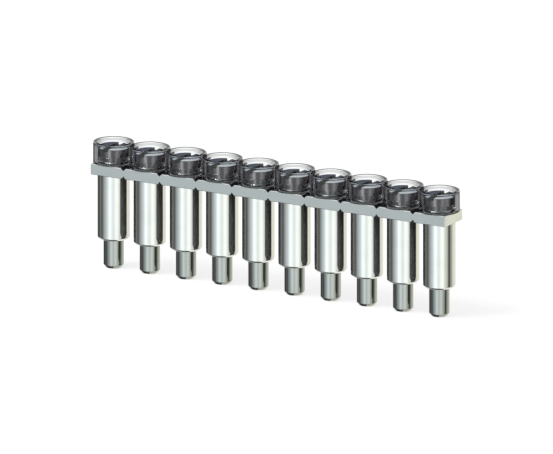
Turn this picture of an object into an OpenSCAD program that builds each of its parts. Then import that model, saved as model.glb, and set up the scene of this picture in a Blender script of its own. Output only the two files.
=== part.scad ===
// Screw-in jumper bar for a row of rail terminals.
// A notched metal bar carries one sleeve, one slotted screw and one clear insulating cup for each pole.
// Millimetres. The row runs along X, +Z points up, and the screw tips end on the plane Z = 0.

/* [Row] */
// Number of poles
poles = 10; // [2:1:16]
// Distance between neighbouring poles
pitch = 6; // [5.6:0.1:8]

/* [Bar] */
// Depth of the bar, across the row
bar_depth = 5; // [4.4:0.1:8]
// Thickness of the bar
bar_thickness = 1.6; // [1.2:0.1:3]
// Distance from the last pole's axis to the end of the bar
bar_end = 2.4; // [2.2:0.1:4]
// Bevel along the long edges of the bar
bar_bevel = 0.08; // [0.02:0.01:0.2]
// Width of each break-off notch at the face of the bar
notch_width = 0.7; // [0.3:0.05:1.2]
// Depth of each break-off notch
notch_depth = 0.38; // [0.1:0.02:0.5]

/* [Sleeves] */
// Outer diameter of a sleeve
sleeve_d = 4.7; // [4.4:0.1:5.4]
// Length of a sleeve below the bar
sleeve_length = 9.65; // [4:0.05:20]
// Bevel round the foot of a sleeve
sleeve_bevel = 0.3; // [0.05:0.05:0.6]
// Wall of the spigot that is pressed into the bar
spigot_wall = 0.38; // [0.2:0.02:0.5]

/* [Screws] */
// Outer diameter of the screw's tip and neck
screw_d = 2.95; // [2.5:0.05:3.2]
// Depth by which the shank is turned down between tip and neck
relief_depth = 0.22; // [0.05:0.01:0.5]
// Length of the tip that stands out of the sleeve
tip_length = 4.3; // [2:0.1:10]
// Height of the lead-in cone at the end of the tip
tip_cone_height = 0.45; // [0.1:0.05:1]
// Depth of the lead-in cone, across the tip
tip_cone_depth = 0.36; // [0.1:0.02:0.8]
// Diameter of the screw's head
head_d = 4.56; // [3.8:0.02:4.8]
// Height of the screw's head
head_height = 1.24; // [0.8:0.02:2]
// Radius of the head's upper edge
head_round = 0.16; // [0.05:0.01:0.3]
// Width of the driver slot
slot_width = 0.9; // [0.5:0.05:1.2]
// Depth of the driver slot
slot_depth = 0.4; // [0.2:0.05:0.7]

/* [Cups] */
// Height of a cup above the bar
cup_height = 3.1; // [2.6:0.05:5]
// Thickness of a cup's floor, under the screw's head
cup_floor = 1.2; // [0.6:0.05:1.6]
// How far the mouth of a cup widens, all round
mouth_flare = 0.08; // [0.02:0.01:0.3]
// Height of the widened mouth
mouth_depth = 0.36; // [0.1:0.02:0.6]
// Radius of a cup's outer edges
cup_round = 0.12; // [0.05:0.01:0.25]
// Width of the ring groove between a cup's floor and its wall
groove_width = 0.05; // [0.02:0.01:0.12]
// Plastic left under the ring groove
groove_web = 0.2; // [0.05:0.05:0.5]

/* [Clearances] */
// Gap all round between the screw and the bores it turns in
screw_clearance = 0.05; // [0.02:0.01:0.1]
// Gap all round between the screw's head and the wall of its cup
head_clearance = 0.06; // [0.03:0.01:0.3]
// Gap between neighbouring cups
cup_gap = 0.02; // [0.01:0.01:0.2]

/* [Hidden] */
$fn = 96;
// Straight steps in a rounded edge
round_steps = 5;
// Share of a cup's wall that its widened mouth and its outer rounding may take
flare_share = 0.5;
round_share = 0.3;
// Overshoot of a cutting shape past the face that it cuts
cut_over = 0.2;

// Heights, from the end of the tips to the rim of the cups
seat_z = tip_length;
bar_low_z = seat_z + sleeve_length;
bar_top_z = bar_low_z + bar_thickness;
floor_z = bar_top_z + cup_floor;
head_top_z = floor_z + head_height;
rim_z = bar_top_z + cup_height;

// Radii, from the screw outwards
screw_r = screw_d / 2;
shank_r = screw_r - relief_depth;
bore_r = screw_r + screw_clearance;
spigot_r = bore_r + spigot_wall;
sleeve_r = sleeve_d / 2;
head_r = head_d / 2;
cup_inner_r = head_r + head_clearance;
cup_outer_r = (pitch - cup_gap) / 2;
cup_wall = cup_outer_r - cup_inner_r;
cup_floor_r = cup_inner_r - groove_width;
mouth_flare_fit = min(mouth_flare, cup_wall * flare_share);
cup_round_fit = min(cup_round, cup_wall * round_share);

row_length = (poles - 1) * pitch;
bar_length = row_length + 2 * bar_end;

// Place of pole i along the row, counted from 1 at the -X end
function pole_x(i) = (i - 1) * pitch - row_length / 2;

// Quarter-round corner of radius r about the point c, from the angle a0 to a1
function corner(c, r, a0, a1) = [
    for (s = [0:round_steps])
        let (a = a0 + (a1 - a0) * s / round_steps)
            c + r * [cos(a), sin(a)]
];

// Notch between poles i and i + 1, in the face at height z, met while going in the direction way along X
function notch(i, z, inwards, way) =
    let (x = pole_x(i) + pitch / 2)
        [[x - way * notch_width / 2, z], [x, z + inwards * notch_depth], [x + way * notch_width / 2, z]];

// Long side of the bar, with a notch in both faces between all neighbouring poles
bar_side = concat(
    [[-bar_length / 2, bar_low_z]],
    [for (i = [1:poles - 1]) each notch(i, bar_low_z, 1, 1)],
    [[bar_length / 2, bar_low_z], [bar_length / 2, bar_top_z]],
    [for (i = [poles - 1:-1:1]) each notch(i, bar_top_z, -1, -1)],
    [[-bar_length / 2, bar_top_z]]
);

// Cross-section of the bar, bevelled at its four corners
bar_section = [
    [-bar_depth / 2 + bar_bevel, bar_low_z],
    [bar_depth / 2 - bar_bevel, bar_low_z],
    [bar_depth / 2, bar_low_z + bar_bevel],
    [bar_depth / 2, bar_top_z - bar_bevel],
    [bar_depth / 2 - bar_bevel, bar_top_z],
    [-bar_depth / 2 + bar_bevel, bar_top_z],
    [-bar_depth / 2, bar_top_z - bar_bevel],
    [-bar_depth / 2, bar_low_z + bar_bevel]
];

// Half section of a sleeve: a tube whose spigot fills the hole in the bar
sleeve_section = [
    [bore_r, seat_z],
    [sleeve_r - sleeve_bevel, seat_z],
    [sleeve_r, seat_z + sleeve_bevel],
    [sleeve_r, bar_low_z],
    [spigot_r, bar_low_z],
    [spigot_r, bar_top_z],
    [bore_r, bar_top_z]
];

// Half section of a screw: tip, turned-down shank, neck and cheese head
screw_section = concat(
    [
        [0, 0],
        [screw_r - tip_cone_depth, 0],
        [screw_r, tip_cone_height],
        [screw_r, seat_z],
        [shank_r, seat_z + relief_depth],
        [shank_r, bar_low_z - relief_depth],
        [screw_r, bar_low_z],
        [screw_r, floor_z],
        [head_r, floor_z]
    ],
    corner([head_r - head_round, head_top_z - head_round], head_round, 0, 90),
    [[0, head_top_z]]
);

// Half section of a cup: thick floor, ring groove, round wall and widened mouth
cup_section = concat(
    [[bore_r, bar_top_z]],
    corner([cup_outer_r - cup_round_fit, bar_top_z + cup_round_fit], cup_round_fit, -90, 0),
    corner([cup_outer_r - cup_round_fit, rim_z - cup_round_fit], cup_round_fit, 0, 90),
    [
        [cup_inner_r + mouth_flare_fit, rim_z],
        [cup_inner_r, rim_z - mouth_depth],
        [cup_inner_r, bar_top_z + groove_web],
        [cup_floor_r, bar_top_z + groove_web],
        [cup_floor_r, floor_z],
        [bore_r, floor_z]
    ]
);

// Flat bar with a hole for each spigot
module bar() {
    color("silver")
        difference() {
            intersection() {
                rotate([90, 0, 0])
                    linear_extrude(height = bar_depth + 2 * cut_over, center = true)
                        polygon(bar_side);
                rotate([90, 0, 90])
                    linear_extrude(height = bar_length + 2 * cut_over, center = true)
                        polygon(bar_section);
            }
            for (i = [1:poles])
                translate([pole_x(i), 0, bar_low_z - cut_over])
                    cylinder(r = spigot_r, h = bar_thickness + 2 * cut_over);
        }
}

// Plated sleeve of pole i
module sleeve(i) {
    color("gainsboro")
        translate([pole_x(i), 0, 0])
            rotate_extrude()
                polygon(sleeve_section);
}

// Slotted screw of pole i, with its slot across the row
module screw(i) {
    color("slategray")
        translate([pole_x(i), 0, 0])
            difference() {
                rotate_extrude()
                    polygon(screw_section);
                translate([-slot_width / 2, -head_r - cut_over, head_top_z - slot_depth])
                    cube([slot_width, 2 * (head_r + cut_over), slot_depth + cut_over]);
            }
}

// Clear insulating cup round the head of pole i
module cup(i) {
    color("lightcyan", 0.4)
        translate([pole_x(i), 0, 0])
            rotate_extrude()
                polygon(cup_section);
}

bar();
for (i = [1:poles]) {
    sleeve(i);
    screw(i);
    cup(i);
}
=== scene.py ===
"""Looks of a screw-in jumper bar for a row of rail terminals.

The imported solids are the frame. The plated bar, the turned sleeves and screws and the clear cups are
built on them with Geometry Nodes, one operator for each group of like pieces. One more operator sets
up the studio.
"""

import math

import bpy
from bpy.props import FloatProperty, FloatVectorProperty, IntProperty, PointerProperty
from mathutils import Matrix, Vector


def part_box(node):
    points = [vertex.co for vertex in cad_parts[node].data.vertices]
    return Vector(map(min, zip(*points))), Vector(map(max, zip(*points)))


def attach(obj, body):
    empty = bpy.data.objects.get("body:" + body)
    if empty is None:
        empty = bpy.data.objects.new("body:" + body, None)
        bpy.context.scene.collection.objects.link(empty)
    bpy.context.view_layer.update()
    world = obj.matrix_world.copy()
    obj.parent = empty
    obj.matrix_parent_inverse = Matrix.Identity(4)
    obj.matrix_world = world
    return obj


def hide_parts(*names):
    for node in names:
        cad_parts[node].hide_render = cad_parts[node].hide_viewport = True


bl_info = {
    "name": "Terminal Jumper Bar",
    "version": (1, 0, 0),
    "blender": (4, 5, 0),
    "location": "3D View > Sidebar > Jumper Bar",
    "description": "Plated bar, sleeves, screws and clear cups of a screw-in jumper bar, with its studio",
    "category": "Object",
}

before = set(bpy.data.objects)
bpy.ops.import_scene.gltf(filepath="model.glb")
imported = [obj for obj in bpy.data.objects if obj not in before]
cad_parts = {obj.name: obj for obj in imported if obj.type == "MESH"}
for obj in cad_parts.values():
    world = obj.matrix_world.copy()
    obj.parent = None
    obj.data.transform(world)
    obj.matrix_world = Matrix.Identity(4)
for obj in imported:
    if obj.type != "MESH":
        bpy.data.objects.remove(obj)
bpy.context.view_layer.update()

MM = 0.001
POLES = sum(name.startswith("screw_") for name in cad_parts)

BAR_LOW, BAR_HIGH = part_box("bar")
SLEEVE_LOW, SLEEVE_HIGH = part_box("sleeve_1")
SCREW_LOW, SCREW_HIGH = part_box("screw_1")
CUP_LOW, CUP_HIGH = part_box("cup_1")
FIRST_POLE = (SCREW_LOW.x + SCREW_HIGH.x) / 2
LAST_POLE = sum(corner.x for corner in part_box(f"screw_{POLES}")) / 2
PITCH = (LAST_POLE - FIRST_POLE) / (POLES - 1)

POLE_SPACE = "pole"
WHITE = (1.0, 1.0, 1.0, 1.0)
BLACK = (0.0, 0.0, 0.0, 1.0)

# Ring that a lathe profile follows, weld between its ends, and bend and steps of an edge
TURNING_GUIDE = 1.0 * MM
WELD = 0.001 * MM
TURNING_CORNER = math.radians(30)
BROKEN_EDGE_STEPS = 2

# Cutting shapes, in head radii, slot depths, bar depths and bar thicknesses
SLOT_CUT_LENGTH = 3.0
SLOT_CUT_HEIGHT = 2.0
NOTCH_CUT_LENGTH = 1.5
HOLE_CUT_HEIGHT = 2.0

# Margins of the masks
MASK_EDGE = 0.005 * MM
NOTCH_EDGE = 0.05 * MM

# Tool lines in one metre, and their depth
SLEEVE_RINGS = 9000.0
SLEEVE_RING_DEPTH = 0.00008 * MM
SCREW_RINGS = 7000.0
SCREW_RING_DEPTH = 0.0002 * MM
BAR_LINES = (60.0, 9000.0, 9000.0)
BAR_LINE_DEPTH = 0.00015 * MM

# Smudges in one metre, the noise at which they start and are full, and the scuffs in them
TURNED_SMUDGES = 420.0
BAR_SMUDGES = 300.0
CUP_SMUDGES = 350.0
SMUDGE_NOISE = (0.42, 0.72)
SCUFFS_PER_SMUDGE = 3.0
SCUFF_WIDTH = 0.03

# How strongly a plating shows its lines, smudges and scuffs, in its colour and in its gloss
TURNED_WEAR = {
    "lines": 0.5, "smudges": 0.5, "light": 1.03, "dark": 0.95,
    "dull": 0.7, "line_dull": 0.6, "smudge_dull": 0.5, "scuff_dull": 0.05,
}
DRAWN_WEAR = {
    "lines": 0.55, "smudges": 0.45, "light": 1.03, "dark": 0.94,
    "dull": 0.75, "line_dull": 0.5, "smudge_dull": 0.3, "scuff_dull": 0.06,
}

# Shares of the plating's colour in the painted shade of the slots and of the notches
SLOT_SHADE_TONE = 0.55
NOTCH_SHADE_TONE = 0.05
# Where the painted shade on a slot's walls starts to fade towards their ends and has faded, in head radii
SLOT_SHADE_FADE = (0.38, 0.66)

# Painted stand-ins for metal where other metal mirrors it: dark grey for bar and sleeves, glowing greys for
# the screw and its head, and a painted sheen more at the head's edges
METAL_GREY = 0.07
SCREW_GREY = 0.06
HEAD_GREY = 0.1
HEAD_EDGE_GREY = 0.3
# Slants from which and at which the bar is painted dark behind the plastic, and how dark: painted shade
DARK_SLANTS = (0.3, 0.75)
BAR_DARK = 0.9

# Shares of the plastic's colour in smudges, and in the painted shade on the dark line under the mouth, on
# the rim and in the well
SMUDGE_TONE = 0.97
LINE_TONE = 0.3
RIM_TONE = 0.05
WELL_TONE = 0.2
# How fast the rim and the well take their painted shade as they are seen at a slant
RIM_GAIN = 1.4
WELL_GAIN = 2.2
# Where the painted dark line under the mouth starts to fade and ends, as shares of its width from its
# middle
LINE_FADE = (0.2, 0.5)
# Share of the roughness where the plastic is clean
CLEAN_DULL = 0.5
# How much the plastic bends light, and how little its mouth does
PLASTIC_BEND = 1.49
MOUTH_BEND = 1.01
# What a second cup leaves of light that the screws throw back. It is painted shade: what the bar's top
# mirrors between the cups comes out darker
DEEP_TONE = 0.4


def length(name, description, millimetres):
    """A size, given in millimetres and kept in metres."""
    return FloatProperty(
        name=name, description=description, default=millimetres * MM, min=0.0,
        precision=5, subtype="DISTANCE", unit="LENGTH",
    )


def half_width(low, high):
    """Radius of a turned solid, in millimetres."""
    return (high.x - low.x) / 2 / MM


def colour(name, description, default):
    """A colour of one finish."""
    return FloatVectorProperty(
        name=name, description=description, default=default, size=3, min=0.0, max=1.0, subtype="COLOR",
    )


def angle(name, description, degrees):
    """An angle, given in degrees and kept in radians."""
    return FloatProperty(
        name=name, description=description, default=math.radians(degrees), subtype="ANGLE", unit="ROTATION",
    )


def share(name, description, default):
    """A number that is a share or a strength."""
    return FloatProperty(name=name, description=description, default=default, min=0.0, precision=3)


class JumperSizes(bpy.types.PropertyGroup):
    """Sizes of the jumper bar's pieces."""

    poles: IntProperty(name="Poles", description="Number of poles in the row", default=POLES, min=1)
    pitch: length("Pitch", "Distance between neighbouring poles", PITCH / MM)
    segments: IntProperty(name="Segments", description="Flats round a turned piece", default=96, min=12)
    corner_steps: IntProperty(
        name="Corner Steps", description="Points in a rounded corner", default=5, min=1,
    )

    bar_bevel: length("Bar Bevel", "Broken edges of the bar", 0.08)
    notch_width: length("Notch Width", "Width of a break-off notch at the face", 0.7)
    notch_depth: length("Notch Depth", "Depth of a break-off notch", 0.38)
    hole_gap: length("Hole Gap", "Seam round a pressed-in spigot", 0.012)

    sleeve_radius: length("Sleeve Radius", "Outer radius of a sleeve", half_width(SLEEVE_LOW, SLEEVE_HIGH))
    bore_radius: length("Bore Radius", "Radius of the bore in a sleeve", 1.525)
    spigot_radius: length("Spigot Radius", "Radius of the spigot in the bar", 1.905)
    foot_bevel: length("Foot Bevel", "Bevel round the foot of a sleeve", 0.3)
    turned_edge: length("Turned Edge", "Rounding left on a turned edge", 0.035)

    screw_radius: length("Screw Radius", "Radius of the tip and the neck", 1.475)
    shank_radius: length("Shank Radius", "Radius of the turned-down shank", 1.255)
    cone_height: length("Cone Height", "Height of the tip's lead-in cone", 0.45)
    cone_depth: length("Cone Depth", "Depth of the tip's lead-in cone", 0.36)
    head_radius: length("Head Radius", "Radius of the cheese head", half_width(SCREW_LOW, SCREW_HIGH))
    head_height: length("Head Height", "Height of the cheese head", 1.24)
    head_round: length("Head Round", "Radius of the head's upper edge", 0.16)
    slot_width: length("Slot Width", "Width of the driver slot", 0.9)
    slot_depth: length("Slot Depth", "Depth of the driver slot", 0.4)

    cup_radius: length("Cup Radius", "Outer radius of a cup", half_width(CUP_LOW, CUP_HIGH))
    cup_inner: length("Cup Inner Radius", "Inner radius of a cup", 2.34)
    cup_floor: length("Cup Floor", "Thickness of a cup's floor", 1.2)
    cup_bite: length("Cup Bite", "How far a cup's floor grips the neck of its screw", 0.02)
    cup_bed: length("Cup Bed", "How far a cup's foot beds into the plating of the bar", 0.01)
    mouth_flare: length("Mouth Flare", "How far the mouth of a cup widens", 0.08)
    mouth_depth: length("Mouth Depth", "Height of the widened mouth", 0.36)
    mouth_edge: length("Mouth Edge", "Radius of the edge at the mouth of a cup", 0.03)
    # The mouth line is a dark line painted in the plastic as shade
    mouth_line: length("Mouth Line", "Width of the moulded line under the widened mouth", 0.16)
    cup_round: length("Cup Round", "Radius of a cup's outer edges", 0.12)
    groove_width: length("Groove Width", "Width of the ring groove round a cup's floor", 0.05)
    groove_web: length("Groove Web", "Plastic left under the ring groove", 0.2)
    head_seat: length("Head Seat", "Air left under a screw's head", 0.01)


class JumperFinishes(bpy.types.PropertyGroup):
    """Colours and gloss of the jumper bar's finishes."""

    bar_tin: colour("Bar Tin", "Bright tin on the bar", (0.93, 0.96, 0.955))
    sleeve_nickel: colour("Sleeve Nickel", "Bright nickel on the sleeves", (0.94, 0.955, 0.94))
    screw_zinc: colour("Screw Zinc", "Zinc on the screws", (0.52, 0.545, 0.53))
    cup_plastic: colour("Cup Plastic", "Clear plastic of the cups", (0.97, 0.975, 0.975))
    cup_shade: colour("Cup Shade", "Tint of light that the screws throw back", (0.86, 0.835, 0.865))
    cup_smoke: share("Cup Smoke", "Density of the smoke in the plastic, per metre", 75.0)
    bar_roughness: share("Bar Roughness", "Roughness of the tinned bar", 0.16)
    sleeve_roughness: share("Sleeve Roughness", "Roughness of the nickelled sleeves", 0.025)
    screw_roughness: share("Screw Roughness", "Roughness of the zinc on the screws", 0.06)
    cup_roughness: share("Cup Roughness", "Roughness of the clear plastic", 0.015)


class JumperStudio(bpy.types.PropertyGroup):
    """Camera and light."""

    azimuth: angle("Camera Azimuth", "Side from which the camera looks", 30.0)
    elevation: angle("Camera Elevation", "Height from which the camera looks", 15.0)
    view_width: length("View Width", "Width of the camera's view", 79.43)
    aim: length("Aim Height", "Height that the middle of the picture looks at", 9.5)
    key_power: share("Key Power", "Power of the lamp over the floor, in watts", 4.0)
    floor_white: colour("Floor White", "Colour of the floor", (0.93, 0.93, 0.93))
    floor_shadow: share("Floor Shadow", "Share of the floor that takes the object's shadow", 0.22)


def node(tree, kind, inputs=None, **options):
    """Adds a node with its options and fills its inputs with values or links."""
    made = tree.nodes.new(kind)
    for key, value in options.items():
        setattr(made, key, value)
    for key, value in (inputs or {}).items():
        fill(tree, made.inputs[key], value)
    return made


def fill(tree, socket, value):
    """Links a socket, or a node's first output, into an input, or sets the input's own value."""
    if isinstance(value, bpy.types.Node):
        value = value.outputs[0]
    if isinstance(value, bpy.types.NodeSocket):
        tree.links.new(value, socket)
    else:
        socket.default_value = value


def calc(tree, operation, first, second=0.0, third=0.0):
    """One step of arithmetic."""
    return node(tree, "ShaderNodeMath", {0: first, 1: second, 2: third}, operation=operation)


def product(tree, *factors):
    """Product of masks or values."""
    result = factors[0]
    for factor in factors[1:]:
        result = calc(tree, "MULTIPLY", result, factor)
    return result


def below(tree, value, limit):
    """1 where a value is smaller than a limit, otherwise 0."""
    return calc(tree, "LESS_THAN", value, limit)


def above(tree, value, limit):
    """1 where a value is larger than a limit, otherwise 0."""
    return calc(tree, "GREATER_THAN", value, limit)


def up_to(tree, count, most):
    """1 where a ray's count of bounces is at most a number, otherwise 0."""
    return below(tree, count, most + 0.5)


def over(tree, count, most):
    """1 where a ray's count of bounces is more than a number, otherwise 0."""
    return above(tree, count, most + 0.5)


def ease(tree, value, start, end, first=0.0, last=1.0):
    """Goes softly from a first to a last number while a value goes from start to end."""
    return node(tree, "ShaderNodeMapRange", {
        "Value": value, "From Min": start, "From Max": end, "To Min": first, "To Max": last,
    }, interpolation_type="SMOOTHSTEP")


def axes(tree, place):
    """The X, Y and Z of a place."""
    return node(tree, "ShaderNodeSeparateXYZ", {0: place}).outputs


def vector(tree, x=0.0, y=0.0, z=0.0):
    """Three values as one vector."""
    return node(tree, "ShaderNodeCombineXYZ", {"X": x, "Y": y, "Z": z})


def open_group(name, kind, inputs, outputs):
    """A new node group with named sockets. Returns the tree, its inputs by name and its output node."""
    tree = bpy.data.node_groups.new(name, kind)
    for socket_name, socket_type in inputs:
        tree.interface.new_socket(socket_name, in_out="INPUT", socket_type=socket_type)
    for socket_name, socket_type in outputs:
        tree.interface.new_socket(socket_name, in_out="OUTPUT", socket_type=socket_type)
    sources = {socket.name: socket for socket in tree.nodes.new("NodeGroupInput").outputs if socket.name}
    return tree, sources, tree.nodes.new("NodeGroupOutput")


def pick(tree, kind, items):
    """A field that gives point i the i-th item."""
    index = node(tree, "GeometryNodeInputIndex")
    switch = node(tree, "GeometryNodeIndexSwitch", data_type=kind)
    while len(switch.index_switch_items) < len(items):
        switch.index_switch_items.new()
    fill(tree, switch.inputs[0], index)
    for place, item in enumerate(items):
        fill(tree, switch.inputs[place + 1], item)
    return switch


def lathe(tree, sizes, profile, closed):
    """Turns a profile of (radius, height, rounding) about the Z axis."""
    places = [
        vector(tree, calc(tree, "SUBTRACT", radius, TURNING_GUIDE), product(tree, height, -1.0))
        for radius, height, _ in profile
    ]
    places = pick(tree, "VECTOR", places)
    points = node(tree, "GeometryNodePoints", {"Count": len(profile), "Position": places})
    outline = node(tree, "GeometryNodePointsToCurves", {"Points": points})
    outline = node(tree, "GeometryNodeSetSplineCyclic", {"Geometry": outline, "Cyclic": closed})
    outline = node(tree, "GeometryNodeFilletCurve", {
        "Curve": outline,
        "Count": sizes["Corner Steps"],
        "Radius": pick(tree, "FLOAT", [rounding for _, _, rounding in profile]),
        "Limit Radius": True,
    }, mode="POLY")
    ring = node(tree, "GeometryNodeCurvePrimitiveCircle", {
        "Resolution": sizes["Segments"], "Radius": TURNING_GUIDE,
    })
    ring = node(tree, "GeometryNodeSetCurveNormal", {"Curve": ring}, mode="Z_UP")
    turned = node(tree, "GeometryNodeCurveToMesh", {"Curve": ring, "Profile Curve": outline})
    turned = node(tree, "GeometryNodeMergeByDistance", {"Geometry": turned, "Distance": WELD})
    return node(tree, "GeometryNodeFlipFaces", {"Mesh": turned})


def soft_edges(tree, mesh):
    """Shades a mesh smooth, apart from its sharp corners."""
    smooth = node(tree, "GeometryNodeSetShadeSmooth", {0: mesh, "Shade Smooth": True}, domain="FACE")
    bend = node(tree, "GeometryNodeInputMeshEdgeAngle").outputs["Unsigned Angle"]
    sharp = node(tree, "FunctionNodeCompare", {"A": bend, "B": TURNING_CORNER}, data_type="FLOAT",
                 operation="GREATER_THAN")
    return node(tree, "GeometryNodeSetShadeSmooth", {
        0: smooth, "Selection": sharp, "Shade Smooth": False,
    }, domain="EDGE")


def keep_pole_space(tree, mesh):
    """Stores each point's place from its own pole's axis, which the finishes read."""
    place = node(tree, "GeometryNodeInputPosition")
    return node(tree, "GeometryNodeStoreNamedAttribute", {
        "Geometry": mesh, "Name": POLE_SPACE, "Value": place,
    }, data_type="FLOAT_VECTOR", domain="POINT")


ROW_INPUTS = (
    ("Poles", "NodeSocketInt"),
    ("First Pole", "NodeSocketFloat"),
    ("Pitch", "NodeSocketFloat"),
    ("Segments", "NodeSocketInt"),
    ("Corner Steps", "NodeSocketInt"),
    ("Finish", "NodeSocketMaterial"),
)


def piece_group(name, size_names):
    """A new Geometry Nodes tree with the inputs that all pieces share and its own sizes."""
    inputs = list(ROW_INPUTS) + [(size, "NodeSocketFloat") for size in size_names]
    return open_group(name, "GeometryNodeTree", inputs, [("Piece", "NodeSocketGeometry")])


def moved(tree, mesh, **change):
    """A mesh, moved, turned or scaled."""
    return node(tree, "GeometryNodeTransform", {"Geometry": mesh, **change})


def cut(tree, mesh, cutter):
    """A mesh, less a cutting shape."""
    return node(tree, "GeometryNodeMeshBoolean", {"Mesh 1": mesh, "Mesh 2": cutter},
                operation="DIFFERENCE", solver="EXACT")


def row_points(tree, sizes, height=0.0):
    """One point on each pole's axis."""
    return node(tree, "GeometryNodeMeshLine", {
        "Count": sizes["Poles"],
        "Start Location": vector(tree, x=sizes["First Pole"], z=height),
        "Offset": vector(tree, x=sizes["Pitch"]),
    }, mode="OFFSET")


def set_row(tree, points, piece):
    """Puts a piece on each point and makes it one plain mesh."""
    placed = node(tree, "GeometryNodeInstanceOnPoints", {"Points": points, "Instance": piece})
    return node(tree, "GeometryNodeRealizeInstances", {0: placed})


def finish_tree(tree, sizes, output, mesh):
    """Gives the mesh its finish and ends the tree."""
    finished = node(tree, "GeometryNodeSetMaterial", {"Geometry": mesh, "Material": sizes["Finish"]})
    fill(tree, output.inputs[0], finished)
    return tree


def turned_tree(name, size_names, profile_of, closed, cut_of=None):
    """A Geometry Nodes tree that turns one profile and repeats it along the row."""
    tree, sizes, output = piece_group(name, size_names)
    mesh = lathe(tree, sizes, profile_of(tree, sizes), closed)
    if cut_of is not None:
        mesh = cut(tree, mesh, cut_of(tree, sizes))
    mesh = keep_pole_space(tree, soft_edges(tree, mesh))
    return finish_tree(tree, sizes, output, set_row(tree, row_points(tree, sizes), mesh))


def sleeve_profile(tree, s):
    """Half section of a sleeve, with the spigot that is pressed into the bar."""
    foot = calc(tree, "SUBTRACT", s["Radius"], s["Foot Bevel"])
    bevel_top = calc(tree, "ADD", s["Seat"], s["Foot Bevel"])
    edge = s["Edge"]
    return [
        (s["Bore"], s["Seat"], edge),
        (foot, s["Seat"], edge),
        (s["Radius"], bevel_top, edge),
        (s["Radius"], s["Shoulder"], edge),
        (s["Spigot"], s["Shoulder"], 0.0),
        (s["Spigot"], s["Top"], edge),
        (s["Bore"], s["Top"], edge),
    ]


def screw_profile(tree, s):
    """Half section of a screw: lead-in cone, tip, turned-down shank, neck and cheese head."""
    relief = calc(tree, "SUBTRACT", s["Radius"], s["Shank"])
    cone = calc(tree, "SUBTRACT", s["Radius"], s["Cone Depth"])
    shank_low = calc(tree, "ADD", s["Seat"], relief)
    shank_high = calc(tree, "SUBTRACT", s["Shoulder"], relief)
    under_head = calc(tree, "SUBTRACT", s["Top"], s["Head Height"])
    edge = s["Edge"]
    return [
        (0.0, s["Low"], 0.0),
        (cone, s["Low"], edge),
        (s["Radius"], calc(tree, "ADD", s["Low"], s["Cone Height"]), edge),
        (s["Radius"], s["Seat"], edge),
        (s["Shank"], shank_low, edge),
        (s["Shank"], shank_high, edge),
        (s["Radius"], s["Shoulder"], edge),
        (s["Radius"], under_head, 0.0),
        (s["Head Radius"], under_head, edge),
        (s["Head Radius"], s["Top"], s["Head Round"]),
        (0.0, s["Top"], 0.0),
    ]


def driver_slot(tree, s):
    """The block that cuts the driver slot across the head."""
    reach = product(tree, s["Head Radius"], SLOT_CUT_LENGTH)
    height = product(tree, s["Slot Depth"], SLOT_CUT_HEIGHT)
    size = vector(tree, s["Slot Width"], reach, height)
    block = node(tree, "GeometryNodeMeshCube", {"Size": size})
    return moved(tree, block, Translation=vector(tree, z=s["Top"]))


def cup_profile(tree, s):
    """Half section of a cup: thick floor, ring groove, round wall and widened mouth."""
    mouth = calc(tree, "ADD", s["Inner"], s["Mouth Flare"])
    floor_edge = calc(tree, "SUBTRACT", s["Inner"], s["Groove Width"])
    return [
        (s["Bore"], s["Low"], 0.0),
        (s["Radius"], s["Low"], s["Round"]),
        (s["Radius"], s["Rim"], s["Round"]),
        (mouth, s["Rim"], s["Edge"]),
        (s["Inner"], calc(tree, "SUBTRACT", s["Rim"], s["Mouth Depth"]), s["Edge"]),
        (s["Inner"], s["Groove Low"], 0.0),
        (floor_edge, s["Groove Low"], 0.0),
        (floor_edge, s["Well"], s["Groove Width"]),
        (s["Bore"], s["Well"], 0.0),
    ]


def bar_tree():
    """A Geometry Nodes tree of the bar: a flat strip, less its notches and the holes for the spigots."""
    size_names = ("Low", "Top", "Length", "Depth", "Notch Width", "Notch Depth", "Hole")
    tree, s, output = piece_group("notched_bar", size_names)
    thickness = calc(tree, "SUBTRACT", s["Top"], s["Low"])
    middle = product(tree, calc(tree, "ADD", s["Top"], s["Low"]), 0.5)
    size = vector(tree, s["Length"], s["Depth"], thickness)
    strip = node(tree, "GeometryNodeMeshCube", {"Size": size})
    strip = moved(tree, strip, Translation=vector(tree, z=middle))

    reach = product(tree, s["Depth"], NOTCH_CUT_LENGTH)
    half_notch = product(tree, s["Notch Width"], 0.5)
    wedge = node(tree, "GeometryNodeMeshCylinder", {"Vertices": 4, "Radius": 1.0, "Depth": 1.0})
    wedge = moved(tree, wedge, Scale=vector(tree, half_notch, s["Notch Depth"], reach))
    wedge = moved(tree, wedge, Rotation=(math.pi / 2, 0.0, 0.0))
    gaps = dict(s)
    gaps["Poles"] = calc(tree, "SUBTRACT", s["Poles"], 1.0)
    gaps["First Pole"] = calc(tree, "ADD", s["First Pole"], product(tree, s["Pitch"], 0.5))
    upper = set_row(tree, row_points(tree, gaps, s["Top"]), wedge)
    lower = set_row(tree, row_points(tree, gaps, s["Low"]), wedge)

    hole = node(tree, "GeometryNodeMeshCylinder", {
        "Vertices": s["Segments"],
        "Radius": s["Hole"],
        "Depth": product(tree, thickness, HOLE_CUT_HEIGHT),
    })
    holes = set_row(tree, row_points(tree, s, middle), hole)
    for cutter in (upper, lower, holes):
        strip = cut(tree, strip, cutter)
    return finish_tree(tree, s, output, soft_edges(tree, strip))


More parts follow.
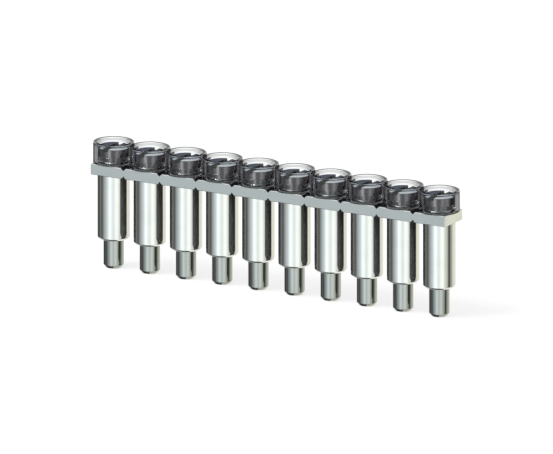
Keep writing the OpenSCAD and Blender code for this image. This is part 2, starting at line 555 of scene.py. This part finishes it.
def make_piece(name, tree, values, bevel=None):
    """Runs a tree with its sizes and returns the result as a plain mesh object at the origin."""
    host = bpy.data.objects.new(f"{name}_nodes", bpy.data.meshes.new(f"{name}_nodes"))
    bpy.context.scene.collection.objects.link(host)
    modifier = host.modifiers.new("Build", "NODES")
    modifier.node_group = tree
    for item in tree.interface.items_tree:
        if item.item_type == "SOCKET" and item.in_out == "INPUT":
            modifier[item.identifier] = values[item.name]
    if bevel is not None:
        edges = host.modifiers.new("Broken Edges", "BEVEL")
        edges.width = bevel
        edges.segments = BROKEN_EDGE_STEPS
        edges.limit_method = "ANGLE"
        edges.angle_limit = TURNING_CORNER
        edges.use_clamp_overlap = False
    even = host.modifiers.new("Even Shading", "WEIGHTED_NORMAL")
    even.keep_sharp = True
    graph = bpy.context.evaluated_depsgraph_get()
    mesh = bpy.data.meshes.new_from_object(host.evaluated_get(graph), depsgraph=graph)
    mesh.name = name
    host.modifiers.clear()
    bpy.data.objects.remove(host)
    piece = bpy.data.objects.new(name, mesh)
    bpy.context.scene.collection.objects.link(piece)
    if not mesh.polygons:
        raise RuntimeError(f"{name} came out empty")
    return piece


def own_values(sizes, *names):
    """Values of the inputs that are named after a size."""
    return {name: getattr(sizes, name.lower().replace(" ", "_")) for name in names}


def row_values(sizes, finish):
    """Values of the inputs that all trees share."""
    shared = own_values(sizes, "Poles", "Pitch", "Segments", "Corner Steps")
    return shared | {"First Pole": FIRST_POLE, "Finish": finish}


def turning_marks():
    """Fine rings that a lathe tool leaves, on walls along the axis and on faces across it."""
    found = bpy.data.node_groups.get("turning_marks")
    if found:
        return found
    inputs = [("Place", "NodeSocketVector"), ("Rings per Metre", "NodeSocketFloat")]
    tree, s, output = open_group("turning_marks", "ShaderNodeTree", inputs, [("Marks", "NodeSocketFloat")])
    x, y, z = axes(tree, s["Place"])
    across = calc(tree, "ADD", product(tree, x, x), product(tree, y, y))
    along = product(tree, calc(tree, "ADD", calc(tree, "SQRT", across), z), s["Rings per Metre"])
    rings = node(tree, "ShaderNodeTexNoise", {"W": along, "Scale": 1.0, "Detail": 3.0, "Roughness": 0.6},
                 noise_dimensions="1D")
    fill(tree, output.inputs["Marks"], rings)
    return tree


def handling_marks():
    """Soft smudges and a few fine scuffs from handling."""
    found = bpy.data.node_groups.get("handling_marks")
    if found:
        return found
    inputs = [("Place", "NodeSocketVector"), ("Smudges per Metre", "NodeSocketFloat")]
    outputs = [("Smudges", "NodeSocketFloat"), ("Scuffs", "NodeSocketFloat")]
    tree, s, output = open_group("handling_marks", "ShaderNodeTree", inputs, outputs)
    cloud = node(tree, "ShaderNodeTexNoise", {
        "Vector": s["Place"], "Scale": s["Smudges per Metre"], "Detail": 4.0, "Roughness": 0.55,
    })
    smudges = ease(tree, cloud, *SMUDGE_NOISE)
    fill(tree, output.inputs["Smudges"], smudges)
    fine = product(tree, s["Smudges per Metre"], SCUFFS_PER_SMUDGE)
    cells = node(tree, "ShaderNodeTexVoronoi", {"Vector": s["Place"], "Scale": fine},
                 feature="DISTANCE_TO_EDGE")
    scuffs = node(tree, "ShaderNodeMapRange", {
        "Value": cells, "From Min": 0.0, "From Max": SCUFF_WIDTH, "To Min": 1.0, "To Max": 0.0,
    })
    fill(tree, output.inputs["Scuffs"], product(tree, scuffs, smudges))
    return tree


def place_group(tree, group, inputs):
    """Places a shader group in a material with its own values."""
    made = tree.nodes.new("ShaderNodeGroup")
    made.node_tree = group
    for key, value in inputs.items():
        fill(tree, made.inputs[key], value)
    return made.outputs


def handled(tree, smudges):
    """The handling marks of one material, with its number of smudges in one metre."""
    return place_group(tree, handling_marks(), {"Place": part_place(tree), "Smudges per Metre": smudges})


def new_finish(name, viewport):
    """A material with an empty tree, a Principled shader and an output."""
    material = bpy.data.materials.new(name)
    material.use_nodes = True
    material.diffuse_color = (*viewport, 1.0)
    tree = material.node_tree
    tree.nodes.clear()
    shader = tree.nodes.new("ShaderNodeBsdfPrincipled")
    output = tree.nodes.new("ShaderNodeOutputMaterial")
    fill(tree, output.inputs["Surface"], shader)
    return material, tree, shader, output


def blend_colour(tree, factor, first, second):
    """Mixes two colours by a factor."""
    mix = node(tree, "ShaderNodeMix", data_type="RGBA")
    fill(tree, mix.inputs[0], factor)
    fill(tree, mix.inputs[6], first)
    fill(tree, mix.inputs[7], second)
    return mix.outputs[2]


def mix_shaders(tree, factor, first, second):
    """Mixes two shaders by a factor."""
    return node(tree, "ShaderNodeMixShader", {0: factor, 1: first, 2: second})


def toned(tint, factor):
    """A colour, lighter or darker, with alpha."""
    return (*[min(1.0, part * factor) for part in tint], 1.0)


def part_place(tree):
    """A point's place on the whole part."""
    return node(tree, "ShaderNodeTexCoord").outputs["Object"]


def pole_place(tree):
    """A point's place from its own pole's axis."""
    stored = node(tree, "ShaderNodeAttribute", attribute_type="GEOMETRY", attribute_name=POLE_SPACE)
    return stored.outputs["Vector"]


def slanted(tree):
    """How much a surface is seen at a slant: 0 face on, 1 edge on."""
    return node(tree, "ShaderNodeLayerWeight", {"Blend": 0.5}).outputs["Facing"]


def dim_in_mirrors(tree, shader, output, dark, behind=0.0):
    """Swaps the metal for a painted stand-in where other metal mirrors it, and at a slant behind the clear
    plastic, which paints it darker there.
    """
    path = node(tree, "ShaderNodeLightPath").outputs
    slant = ease(tree, slanted(tree), *DARK_SLANTS, last=behind)
    veiled = product(tree, path["Is Transmission Ray"], slant)
    dimmed = calc(tree, "MAXIMUM", path["Is Reflection Ray"], veiled)
    fill(tree, output.inputs["Surface"], mix_shaders(tree, dimmed, shader, dark))


def in_slot(tree, x, z, sizes):
    """1 within a screw's driver slot."""
    within = below(tree, calc(tree, "ABSOLUTE", x), sizes.slot_width / 2 + MASK_EDGE)
    return product(tree, within, above(tree, z, SCREW_HIGH.z - sizes.slot_depth - MASK_EDGE))


def slot_shade_mask(tree, sizes):
    """1 where shade is painted in a screw's driver slot: on its floor, and on its walls except towards
    their ends, where the painted shade fades out.
    """
    x, y, z = axes(tree, pole_place(tree))
    start, end = (sizes.head_radius * part for part in SLOT_SHADE_FADE)
    # Painted shade on the slot's walls, full near the middle and fading out towards their ends
    shaded_walls = ease(tree, calc(tree, "ABSOLUTE", y), start, end, 1.0, 0.0)
    floor = below(tree, z, SCREW_HIGH.z - sizes.slot_depth + MASK_EDGE)
    return product(tree, calc(tree, "MAXIMUM", shaded_walls, floor), in_slot(tree, x, z, sizes))


def notch_shade_mask(tree, sizes):
    """1 on the flanks of the bar's break-off notches, which are painted near black as shade."""
    x, _, z = axes(tree, part_place(tree))
    from_pole = calc(tree, "PINGPONG", calc(tree, "SUBTRACT", x, FIRST_POLE), sizes.pitch / 2)
    off = calc(tree, "SUBTRACT", sizes.pitch / 2, from_pole)
    half = sizes.notch_width / 2
    flank = calc(tree, "MULTIPLY_ADD", off, -sizes.notch_depth / half, sizes.notch_depth + NOTCH_EDGE)
    middle = (BAR_LOW.z + BAR_HIGH.z) / 2
    level = calc(tree, "ABSOLUTE", calc(tree, "SUBTRACT", z, middle))
    sunk = calc(tree, "SUBTRACT", BAR_HIGH.z - middle, level)
    between = below(tree, calc(tree, "ABSOLUTE", x), LAST_POLE)
    return product(tree, below(tree, sunk, flank), between)


def painted_mirror_grey(tree):
    """A dark grey that takes its light from the room, put in place of mirrored metal as painted shade."""
    return node(tree, "ShaderNodeBsdfDiffuse", {"Color": toned(WHITE[:3], METAL_GREY)})


def painted_screw_glow(tree, sizes):
    """A painted glow, the same in any light, that stands in for a mirrored screw. In a cup, outside the
    slot, it is lighter towards the edges: a painted sheen.
    """
    x, _, z = axes(tree, pole_place(tree))
    in_cup = calc(tree, "SUBTRACT", above(tree, z, CUP_LOW.z), in_slot(tree, x, z, sizes))
    # Painted sheen: the glow grows as the head is seen at a slant
    change = calc(tree, "MULTIPLY_ADD", slanted(tree), HEAD_EDGE_GREY, HEAD_GREY - SCREW_GREY)
    level = calc(tree, "MULTIPLY_ADD", change, in_cup, SCREW_GREY)
    return node(tree, "ShaderNodeEmission", {"Color": WHITE, "Strength": level})


def plate(tree, shader, tint, roughness, wear, lines, depth, marks, recess_shade=None):
    """Plated colour, gloss and fine relief, by tool lines and handling. A recess shade is a mask and the
    tone of the shade painted in it.
    """
    shade = calc(tree, "MULTIPLY_ADD", marks["Smudges"], wear["smudges"],
                 product(tree, lines, wear["lines"]))
    plated = blend_colour(tree, shade, toned(tint, wear["light"]), toned(tint, wear["dark"]))
    if recess_shade is not None:
        mask, tone = recess_shade
        plated = blend_colour(tree, mask, plated, toned(tint, tone))
    fill(tree, shader.inputs["Base Color"], plated)
    dull = calc(tree, "MULTIPLY_ADD", lines, roughness * wear["line_dull"], roughness * wear["dull"])
    dull = calc(tree, "MULTIPLY_ADD", marks["Smudges"], roughness * wear["smudge_dull"], dull)
    dull = calc(tree, "MULTIPLY_ADD", marks["Scuffs"], wear["scuff_dull"], dull)
    fill(tree, shader.inputs["Roughness"], dull)
    relief = node(tree, "ShaderNodeBump", {"Height": lines, "Strength": 1.0, "Distance": depth})
    fill(tree, shader.inputs["Normal"], relief)
    shader.inputs["Metallic"].default_value = 1.0


def turned_metal(name, tint, roughness, rings, depth, dark_of, recess_shade_of=None):
    """Plated metal with turning rings and handling marks."""
    material, tree, shader, output = new_finish(name, tint)
    lathed = place_group(tree, turning_marks(), {"Place": pole_place(tree), "Rings per Metre": rings})
    marks = handled(tree, TURNED_SMUDGES)
    # Painted shade in a recess, where one is masked
    recess_shade = None if recess_shade_of is None else (recess_shade_of(tree), SLOT_SHADE_TONE)
    plate(tree, shader, tint, roughness, TURNED_WEAR, lathed["Marks"], depth, marks, recess_shade)
    dim_in_mirrors(tree, shader, output, dark_of(tree))
    return material


def drawn_metal(name, tint, roughness, sizes):
    """Tinned strip with fine lines along its length, handling marks and painted shade in its notches."""
    material, tree, shader, output = new_finish(name, tint)
    along = node(tree, "ShaderNodeMapping", {"Vector": part_place(tree), "Scale": BAR_LINES})
    lines = node(tree, "ShaderNodeTexNoise", {"Vector": along, "Scale": 1.0, "Detail": 2.0})
    marks = handled(tree, BAR_SMUDGES)
    # Painted shade on the notch flanks
    recess_shade = (notch_shade_mask(tree, sizes), NOTCH_SHADE_TONE)
    plate(tree, shader, tint, roughness, DRAWN_WEAR, lines, BAR_LINE_DEPTH, marks, recess_shade)
    dim_in_mirrors(tree, shader, output, painted_mirror_grey(tree), behind=BAR_DARK)
    return material


def cup_masks(tree, sizes):
    """Masks of a cup's mouth, of its rim's face, of the painted dark line under the mouth, of its open well
    and outer wall.
    """
    x, y, z = axes(tree, pole_place(tree))
    across = calc(tree, "MULTIPLY_ADD", x, x, product(tree, y, y))
    within = below(tree, across, (sizes.cup_radius - sizes.cup_round) ** 2)
    line_height = CUP_HIGH.z - sizes.mouth_depth
    from_line = calc(tree, "ABSOLUTE", calc(tree, "SUBTRACT", z, line_height))
    core, end = (sizes.mouth_line * part for part in LINE_FADE)
    return {
        "mouth": product(tree, within, above(tree, z, line_height - MASK_EDGE)),
        "rim": product(tree, within, above(tree, z, CUP_HIGH.z - MASK_EDGE)),
        "line": ease(tree, from_line, core, end, 1.0, 0.0),
        "well": product(tree, within, above(tree, z, SCREW_HIGH.z)),
        "outer": calc(tree, "SUBTRACT", 1.0, within),
    }


def clear_plastic(name, tint, shade, smoke, roughness, sizes):
    """Clear moulded plastic, faintly smoky. Light that the screws throw back comes out dimmed."""
    material, tree, shader, output = new_finish(name, tint)
    smudges = handled(tree, CUP_SMUDGES)["Smudges"]
    masks = cup_masks(tree, sizes)
    slant = slanted(tree)
    # Painted shade: the well, the line under the mouth and the rim are darker, and the well and rim darken
    # further when seen at a slant
    for part, gain in (("well", WELL_GAIN), ("rim", RIM_GAIN)):
        seen = calc(tree, "MINIMUM", product(tree, slant, gain), 1.0)
        masks[part] = product(tree, masks[part], seen)
    clear = blend_colour(tree, smudges, toned(tint, 1.0), toned(tint, SMUDGE_TONE))
    for part, tone in (("well", WELL_TONE), ("line", LINE_TONE), ("rim", RIM_TONE)):
        clear = blend_colour(tree, masks[part], clear, toned(tint, tone))
    fill(tree, shader.inputs["Base Color"], clear)
    fill(tree, shader.inputs["Roughness"],
         calc(tree, "MULTIPLY_ADD", smudges, roughness, roughness * CLEAN_DULL))
    shader.inputs["Transmission Weight"].default_value = 1.0

    path = node(tree, "ShaderNodeLightPath").outputs
    rear = node(tree, "ShaderNodeNewGeometry").outputs["Backfacing"]
    by_mouth = product(
        tree, up_to(tree, path["Transmission Depth"], 1), up_to(tree, path["Glossy Depth"], 0),
        rear, masks["outer"],
    )
    unbent = calc(tree, "MAXIMUM", masks["mouth"], by_mouth)
    fill(tree, shader.inputs["IOR"],
         calc(tree, "MULTIPLY_ADD", unbent, MOUTH_BEND - PLASTIC_BEND, PLASTIC_BEND))

    first_rear = product(tree, rear, up_to(tree, path["Transparent Depth"], 0))
    thrown_back = product(tree, path["Is Reflection Ray"], calc(tree, "SUBTRACT", 1.0, first_rear))
    # Painted shade: light thrown back through a second film comes out darker, which darkens the bar between
    # the cups
    second_film = over(tree, path["Transparent Depth"], 1)
    deep = product(tree, second_film, up_to(tree, path["Transmission Depth"], 0))
    film = node(tree, "ShaderNodeBsdfTransparent", {
        "Color": blend_colour(tree, deep, toned(shade, 1.0), toned(shade, DEEP_TONE)),
    })
    mixed = mix_shaders(tree, thrown_back, shader, film)
    fill(tree, output.inputs["Surface"], mixed)
    haze = node(tree, "ShaderNodeVolumeAbsorption", {"Color": BLACK, "Density": smoke})
    fill(tree, output.inputs["Volume"], haze)
    return material


class JUMPER_OT_bar(bpy.types.Operator):
    """Builds the notched and tinned bar"""

    bl_idname = "jumper.bar"
    bl_label = "Bar"

    def execute(self, context):
        sizes, finishes = context.scene.jumper_sizes, context.scene.jumper_finishes
        tin = drawn_metal("bar_tin", finishes.bar_tin, finishes.bar_roughness, sizes)
        piece = make_piece("jumper_strip", bar_tree(), row_values(sizes, tin) | {
            "Low": BAR_LOW.z,
            "Top": BAR_HIGH.z,
            "Length": BAR_HIGH.x - BAR_LOW.x,
            "Depth": BAR_HIGH.y - BAR_LOW.y,
            "Hole": sizes.spigot_radius + sizes.hole_gap,
            **own_values(sizes, "Notch Width", "Notch Depth"),
        }, bevel=sizes.bar_bevel)
        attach(piece, "carrier")
        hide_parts("bar")
        return {"FINISHED"}


class JUMPER_OT_sleeves(bpy.types.Operator):
    """Builds the turned and nickelled sleeves"""

    bl_idname = "jumper.sleeves"
    bl_label = "Sleeves"

    def execute(self, context):
        sizes, finishes = context.scene.jumper_sizes, context.scene.jumper_finishes
        nickel = turned_metal(
            "sleeve_nickel", finishes.sleeve_nickel, finishes.sleeve_roughness,
            SLEEVE_RINGS, SLEEVE_RING_DEPTH, dark_of=painted_mirror_grey,
        )
        values = {
            "Radius": sizes.sleeve_radius,
            "Bore": sizes.bore_radius,
            "Spigot": sizes.spigot_radius,
            "Foot Bevel": sizes.foot_bevel,
            "Seat": SLEEVE_LOW.z,
            "Shoulder": BAR_LOW.z,
            "Top": BAR_HIGH.z,
            "Edge": sizes.turned_edge,
        }
        tree = turned_tree("turned_sleeves", list(values), sleeve_profile, closed=True)
        piece = make_piece("sleeves_turned", tree, row_values(sizes, nickel) | values)
        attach(piece, "carrier")
        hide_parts(*[f"sleeve_{pole}" for pole in range(1, sizes.poles + 1)])
        return {"FINISHED"}


class JUMPER_OT_screws(bpy.types.Operator):
    """Builds the slotted screws, one for each pole's own body"""

    bl_idname = "jumper.screws"
    bl_label = "Screws"

    def execute(self, context):
        sizes, finishes = context.scene.jumper_sizes, context.scene.jumper_finishes
        zinc = turned_metal(
            "screw_zinc", finishes.screw_zinc, finishes.screw_roughness, SCREW_RINGS, SCREW_RING_DEPTH,
            dark_of=lambda tree: painted_screw_glow(tree, sizes), recess_shade_of=lambda tree: slot_shade_mask(tree, sizes),
        )
        values = {
            "Low": SCREW_LOW.z,
            "Seat": SLEEVE_LOW.z,
            "Shoulder": BAR_LOW.z,
            "Top": SCREW_HIGH.z,
            "Radius": sizes.screw_radius,
            "Shank": sizes.shank_radius,
            "Edge": sizes.turned_edge,
            **own_values(sizes, "Cone Height", "Cone Depth", "Head Radius", "Head Height", "Head Round"),
            **own_values(sizes, "Slot Width", "Slot Depth"),
        }
        tree = turned_tree("slotted_screw", list(values), screw_profile, closed=False, cut_of=driver_slot)
        for pole in range(1, sizes.poles + 1):
            place = {"Poles": 1, "First Pole": FIRST_POLE + (pole - 1) * sizes.pitch}
            piece = make_piece(f"screw_{pole}_slotted", tree, row_values(sizes, zinc) | values | place)
            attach(piece, f"screw_{pole}")
            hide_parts(f"screw_{pole}")
        return {"FINISHED"}


class JUMPER_OT_cups(bpy.types.Operator):
    """Builds the clear insulating cups"""

    bl_idname = "jumper.cups"
    bl_label = "Cups"

    def execute(self, context):
        sizes, finishes = context.scene.jumper_sizes, context.scene.jumper_finishes
        clear = clear_plastic(
            "cup_clear", finishes.cup_plastic, finishes.cup_shade, finishes.cup_smoke,
            finishes.cup_roughness, sizes,
        )
        values = {
            "Low": CUP_LOW.z - sizes.cup_bed,
            "Rim": CUP_HIGH.z,
            "Radius": sizes.cup_radius,
            "Inner": sizes.cup_inner,
            "Bore": sizes.screw_radius - sizes.cup_bite,
            "Well": CUP_LOW.z + sizes.cup_floor - sizes.head_seat,
            "Groove Low": CUP_LOW.z + sizes.groove_web,
            "Round": sizes.cup_round,
            "Edge": sizes.mouth_edge,
            **own_values(sizes, "Groove Width", "Mouth Flare", "Mouth Depth"),
        }
        tree = turned_tree("clear_cups", list(values), cup_profile, closed=True)
        piece = make_piece("cups_clear", tree, row_values(sizes, clear) | values)
        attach(piece, "carrier")
        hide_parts(*[f"cup_{pole}" for pole in range(1, sizes.poles + 1)])
        return {"FINISHED"}


# Room colours round the camera, from its left rear by its front to its right rear, in degrees
ROOM = (
    (-180, (0.56, 0.56, 0.5)),
    (-168, (0.42, 0.42, 0.38)),
    (-154, (0.05, 0.05, 0.05)),
    (-128, (0.03, 0.03, 0.03)),
    (-114, (0.15, 0.155, 0.145)),
    (-105, (0.17, 0.175, 0.16)),
    (-94, (0.08, 0.08, 0.08)),
    (-84, (0.14, 0.15, 0.15)),
    (-72, (0.31, 0.34, 0.35)),
    (-32, (0.78, 0.85, 0.845)),
    (30, (0.79, 0.82, 0.775)),
    (57, (0.52, 0.525, 0.46)),
    (64, (0.32, 0.32, 0.28)),
    (71, (0.05, 0.05, 0.05)),
    (79, (0.09, 0.09, 0.085)),
    (88, (0.3, 0.3, 0.27)),
    (102, (0.42, 0.42, 0.36)),
    (114, (0.76, 0.76, 0.64)),
    (126, (0.74, 0.73, 0.61)),
    (150, (0.5, 0.5, 0.45)),
    (180, (0.56, 0.56, 0.5)),
)
# The same room as the screw heads show it through the cups
ROOM_IN_CUPS = (
    (-180, (0.03, 0.03, 0.03)),
    (-130, (0.06, 0.06, 0.065)),
    (-98, (0.16, 0.165, 0.19)),
    (-75, (0.1, 0.1, 0.11)),
    (-46, (0.36, 0.35, 0.36)),
    (-4, (0.19, 0.185, 0.205)),
    (40, (0.24, 0.235, 0.25)),
    (49, (0.44, 0.44, 0.47)),
    (60, (0.4, 0.4, 0.43)),
    (84, (0.05, 0.05, 0.055)),
    (180, (0.02, 0.02, 0.02)),
)
# Soft boxes: place and half width in degrees; strength in the open, on heads, in cup walls, in free walls
SOFT_BOXES = (
    (-27, 24, 0.24, 0.0, 0.0, 0.0),
    (20, 24, 0.24, 0.0, 0.0, 0.0),
    (153, 22, 0.4, 0.0, 0.0, 0.0),
    (-160, 20, 0.4, 0.0, 0.0, 0.0),
    (-30, 17, 0.0, 0.6, 0.6, 0.6),
    (22, 18, 0.0, 0.26, 0.26, 0.26),
    (180, 85, 0.0, 0.0, 0.45, 0.45),
    (180, 16, 0.0, 0.3, 0.0, 0.0),
    (143, 32, 0.0, 0.0, 0.0, 1.5),
    (-143, 32, 0.0, 0.0, 0.0, 1.5),
)
# Shares of the room's light that come out of a cup's wall, and back from the neck in its floor
WALL_SHARE = 0.21
NECK_SHARE = 0.7
# Share of the open room's light that gets through to a screw's slot
SLOT_SHARE = 0.3
# Upper wall in the open, through a cup and behind a cup that a screw mirrors, then the ceiling
WALL = (0.56, 0.555, 0.54, 1.0)
WALL_IN_CUPS = (1.16, 1.22, 1.33, 1.0)
WALL_BEHIND_CUP = (0.18, 0.215, 0.265, 1.0)
CEILING = (0.9, 0.92, 0.93, 1.0)
# Rise, as a sine, over which the room turns into its upper wall, and that into the ceiling
ROOM_TO_WALL = (-0.08, 0.12)
WALL_TO_CEILING = (0.42, 0.72)

# Floor, lamp and camera
FLOOR_HALF = 1.5
FLOOR_DROP = 0.02 * MM
FLOOR_GRAIN = 900.0
FLOOR_GRAIN_TONE = 0.995
FLOOR_ROUGHNESS = 0.9
LAMP_SIZE = 0.35
LAMP_PLACE = Vector((-0.25, -0.25, 0.55))
CAMERA_DISTANCE = 0.4
CAMERA_CLIP = (0.01, 10.0)


def room_ramp(tree, turn, stops):
    """Colours of a room, by the turn from the camera."""
    place = calc(tree, "MULTIPLY_ADD", turn, 0.5 / math.pi, 0.5)
    ramp = node(tree, "ShaderNodeValToRGB", {0: place})
    marks = ramp.color_ramp.elements
    while len(marks) < len(stops):
        marks.new(0.5)
    for mark, (degrees, tint) in zip(marks, stops):
        mark.position = degrees / 360.0 + 0.5
        mark.color = (*tint, 1.0)
    return ramp


def light_calc(tree, operation, first, second):
    """One step of arithmetic with directions or with light."""
    return node(tree, "ShaderNodeVectorMath", {0: first, 1: second}, operation=operation)


def studio_world(studio):
    """White behind the object. Metal sees soft boxes, a dark flag on the left and cream on the right."""
    world = bpy.data.worlds.new("studio_room")
    world.use_nodes = True
    tree = world.node_tree
    tree.nodes.clear()
    direction = node(tree, "ShaderNodeTexCoord").outputs["Generated"]
    side = (math.cos(studio.azimuth), math.sin(studio.azimuth), 0.0)
    front = (math.sin(studio.azimuth), -math.cos(studio.azimuth), 0.0)
    to_side = light_calc(tree, "DOT_PRODUCT", direction, side).outputs["Value"]
    to_front = light_calc(tree, "DOT_PRODUCT", direction, front).outputs["Value"]
    turn = calc(tree, "ARCTAN2", to_side, to_front)
    path = node(tree, "ShaderNodeLightPath").outputs
    bent = path["Is Transmission Ray"]
    through = over(tree, path["Transmission Depth"], 0)
    veiled = over(tree, path["Transparent Depth"], 0)

    open_share = calc(tree, "MULTIPLY_ADD", veiled, SLOT_SHARE - 1.0, 1.0)
    open_room = light_calc(tree, "MULTIPLY", room_ramp(tree, turn, ROOM), open_share)
    light = blend_colour(tree, through, open_room, room_ramp(tree, turn, ROOM_IN_CUPS))
    in_wall = product(tree, through, bent)
    in_free_wall = product(tree, in_wall, up_to(tree, path["Transmission Depth"], 2))
    for place, spread, in_open, on_heads, in_walls, in_free_walls in SOFT_BOXES:
        off = calc(tree, "PINGPONG", calc(tree, "SUBTRACT", turn, math.radians(place)), math.pi)
        glow = ease(tree, off, 0.0, math.radians(spread), 1.0, 0.0)
        strength = calc(tree, "MULTIPLY_ADD", through, on_heads - in_open, in_open)
        strength = calc(tree, "MULTIPLY_ADD", in_wall, in_walls - on_heads, strength)
        strength = calc(tree, "MULTIPLY_ADD", in_free_wall, in_free_walls - in_walls, strength)
        light = light_calc(tree, "ADD", light, product(tree, glow, strength))

    height = axes(tree, direction)[2]
    wall = blend_colour(tree, veiled, blend_colour(tree, through, WALL, WALL_IN_CUPS), WALL_BEHIND_CUP)
    upper = blend_colour(tree, ease(tree, height, *WALL_TO_CEILING), wall, CEILING)
    room = blend_colour(tree, ease(tree, height, *ROOM_TO_WALL), light, upper)
    from_neck = over(tree, path["Transmission Depth"], 3)
    out_share = calc(tree, "MULTIPLY_ADD", from_neck, NECK_SHARE - WALL_SHARE, WALL_SHARE - 1.0)
    out_share = calc(tree, "MULTIPLY_ADD", bent, out_share, 1.0)
    room = light_calc(tree, "MULTIPLY", room, out_share)
    straight = product(tree, bent, up_to(tree, path["Glossy Depth"], 0))
    plain = calc(tree, "MAXIMUM", path["Is Camera Ray"], straight)
    shown = blend_colour(tree, plain, room, WHITE)
    background = node(tree, "ShaderNodeBackground", {"Color": shown, "Strength": 1.0})
    output = tree.nodes.new("ShaderNodeOutputWorld")
    fill(tree, output.inputs["Surface"], background)
    return world


def floor_finish(studio):
    """Pale floor that stays white to the camera and keeps a share of the object's shadow."""
    material, tree, shader, output = new_finish("studio_floor", studio.floor_white)
    grain = node(tree, "ShaderNodeTexNoise", {
        "Vector": part_place(tree), "Scale": FLOOR_GRAIN, "Detail": 2.0,
    })
    fill(tree, shader.inputs["Base Color"], blend_colour(
        tree, grain, toned(studio.floor_white, 1.0), toned(studio.floor_white, FLOOR_GRAIN_TONE),
    ))
    shader.inputs["Roughness"].default_value = FLOOR_ROUGHNESS
    shader.inputs["Specular IOR Level"].default_value = 0.0
    glow = node(tree, "ShaderNodeEmission", {"Color": WHITE, "Strength": 1.0})
    path = node(tree, "ShaderNodeLightPath").outputs
    bent = path["Is Transmission Ray"]
    seen = calc(tree, "MAXIMUM", path["Is Camera Ray"], bent)
    white_share = product(tree, seen, 1.0 - studio.floor_shadow)
    shown = mix_shaders(tree, white_share, shader, glow)
    unseen = product(tree, bent, over(tree, path["Glossy Depth"], 0))
    nothing = tree.nodes.new("ShaderNodeBsdfTransparent")
    fill(tree, output.inputs["Surface"], mix_shaders(tree, unseen, shown, nothing))
    return material


class JUMPER_OT_stage(bpy.types.Operator):
    """Sets up the floor, the light and the camera"""

    bl_idname = "jumper.stage"
    bl_label = "Stage"

    def execute(self, context):
        scene, studio = context.scene, context.scene.jumper_studio
        scene.view_settings.view_transform = "Standard"
        scene.world = studio_world(studio)

        corners = ((-1, -1), (1, -1), (1, 1), (-1, 1))
        places = [(x * FLOOR_HALF, y * FLOOR_HALF, -FLOOR_DROP) for x, y in corners]
        mesh = bpy.data.meshes.new("studio_floor")
        mesh.from_pydata(places, [], [(0, 1, 2, 3)])
        mesh.materials.append(floor_finish(studio))
        floor = bpy.data.objects.new("studio_floor", mesh)
        scene.collection.objects.link(floor)
        floor.visible_glossy = False

        key = bpy.data.lights.new("key", "AREA")
        key.shape = "DISK"
        key.size = LAMP_SIZE
        key.energy = studio.key_power
        lamp = bpy.data.objects.new("key", key)
        scene.collection.objects.link(lamp)
        aim = LAMP_PLACE.to_track_quat("Z", "Y").to_matrix().to_4x4()
        lamp.matrix_world = Matrix.Translation(LAMP_PLACE) @ aim
        lamp.visible_glossy = False

        camera_data = bpy.data.cameras.new("camera")
        camera_data.type = "ORTHO"
        camera_data.ortho_scale = studio.view_width
        camera_data.clip_start, camera_data.clip_end = CAMERA_CLIP
        camera = bpy.data.objects.new("camera", camera_data)
        scene.collection.objects.link(camera)
        back = Vector((
            math.sin(studio.azimuth) * math.cos(studio.elevation),
            -math.cos(studio.azimuth) * math.cos(studio.elevation),
            math.sin(studio.elevation),
        ))
        camera.location = Vector((0.0, 0.0, studio.aim)) + back * CAMERA_DISTANCE
        camera.rotation_euler = back.to_track_quat("Z", "Y").to_euler()
        scene.camera = camera
        return {"FINISHED"}


class VIEW3D_PT_jumper_bar(bpy.types.Panel):
    """Sizes, finishes, light and the operators that build the pieces"""

    bl_label = "Jumper Bar"
    bl_idname = "VIEW3D_PT_jumper_bar"
    bl_space_type = "VIEW_3D"
    bl_region_type = "UI"
    bl_category = "Jumper Bar"

    def draw(self, context):
        for settings in SETTINGS:
            group = getattr(context.scene, settings)
            box = self.layout.box()
            for name in group.__annotations__:
                box.prop(group, name)
        for step in STEPS:
            self.layout.operator(step.bl_idname)


STEPS = (JUMPER_OT_stage, JUMPER_OT_bar, JUMPER_OT_sleeves, JUMPER_OT_screws, JUMPER_OT_cups)
SETTINGS = {"jumper_sizes": JumperSizes, "jumper_finishes": JumperFinishes, "jumper_studio": JumperStudio}
CLASSES = (*SETTINGS.values(), *STEPS, VIEW3D_PT_jumper_bar)


def register():
    """Registers the classes and puts the settings on the scene."""
    for made in CLASSES:
        bpy.utils.register_class(made)
    for settings, group in SETTINGS.items():
        setattr(bpy.types.Scene, settings, PointerProperty(type=group))


def unregister():
    """Takes the settings and the classes away again."""
    for settings in SETTINGS:
        delattr(bpy.types.Scene, settings)
    for made in reversed(CLASSES):
        bpy.utils.unregister_class(made)


def main():
    """Builds the stage and all pieces."""
    register()
    bpy.ops.jumper.stage()
    bpy.ops.jumper.bar()
    bpy.ops.jumper.sleeves()
    bpy.ops.jumper.screws()
    bpy.ops.jumper.cups()


if __name__ == "__main__":
    main()
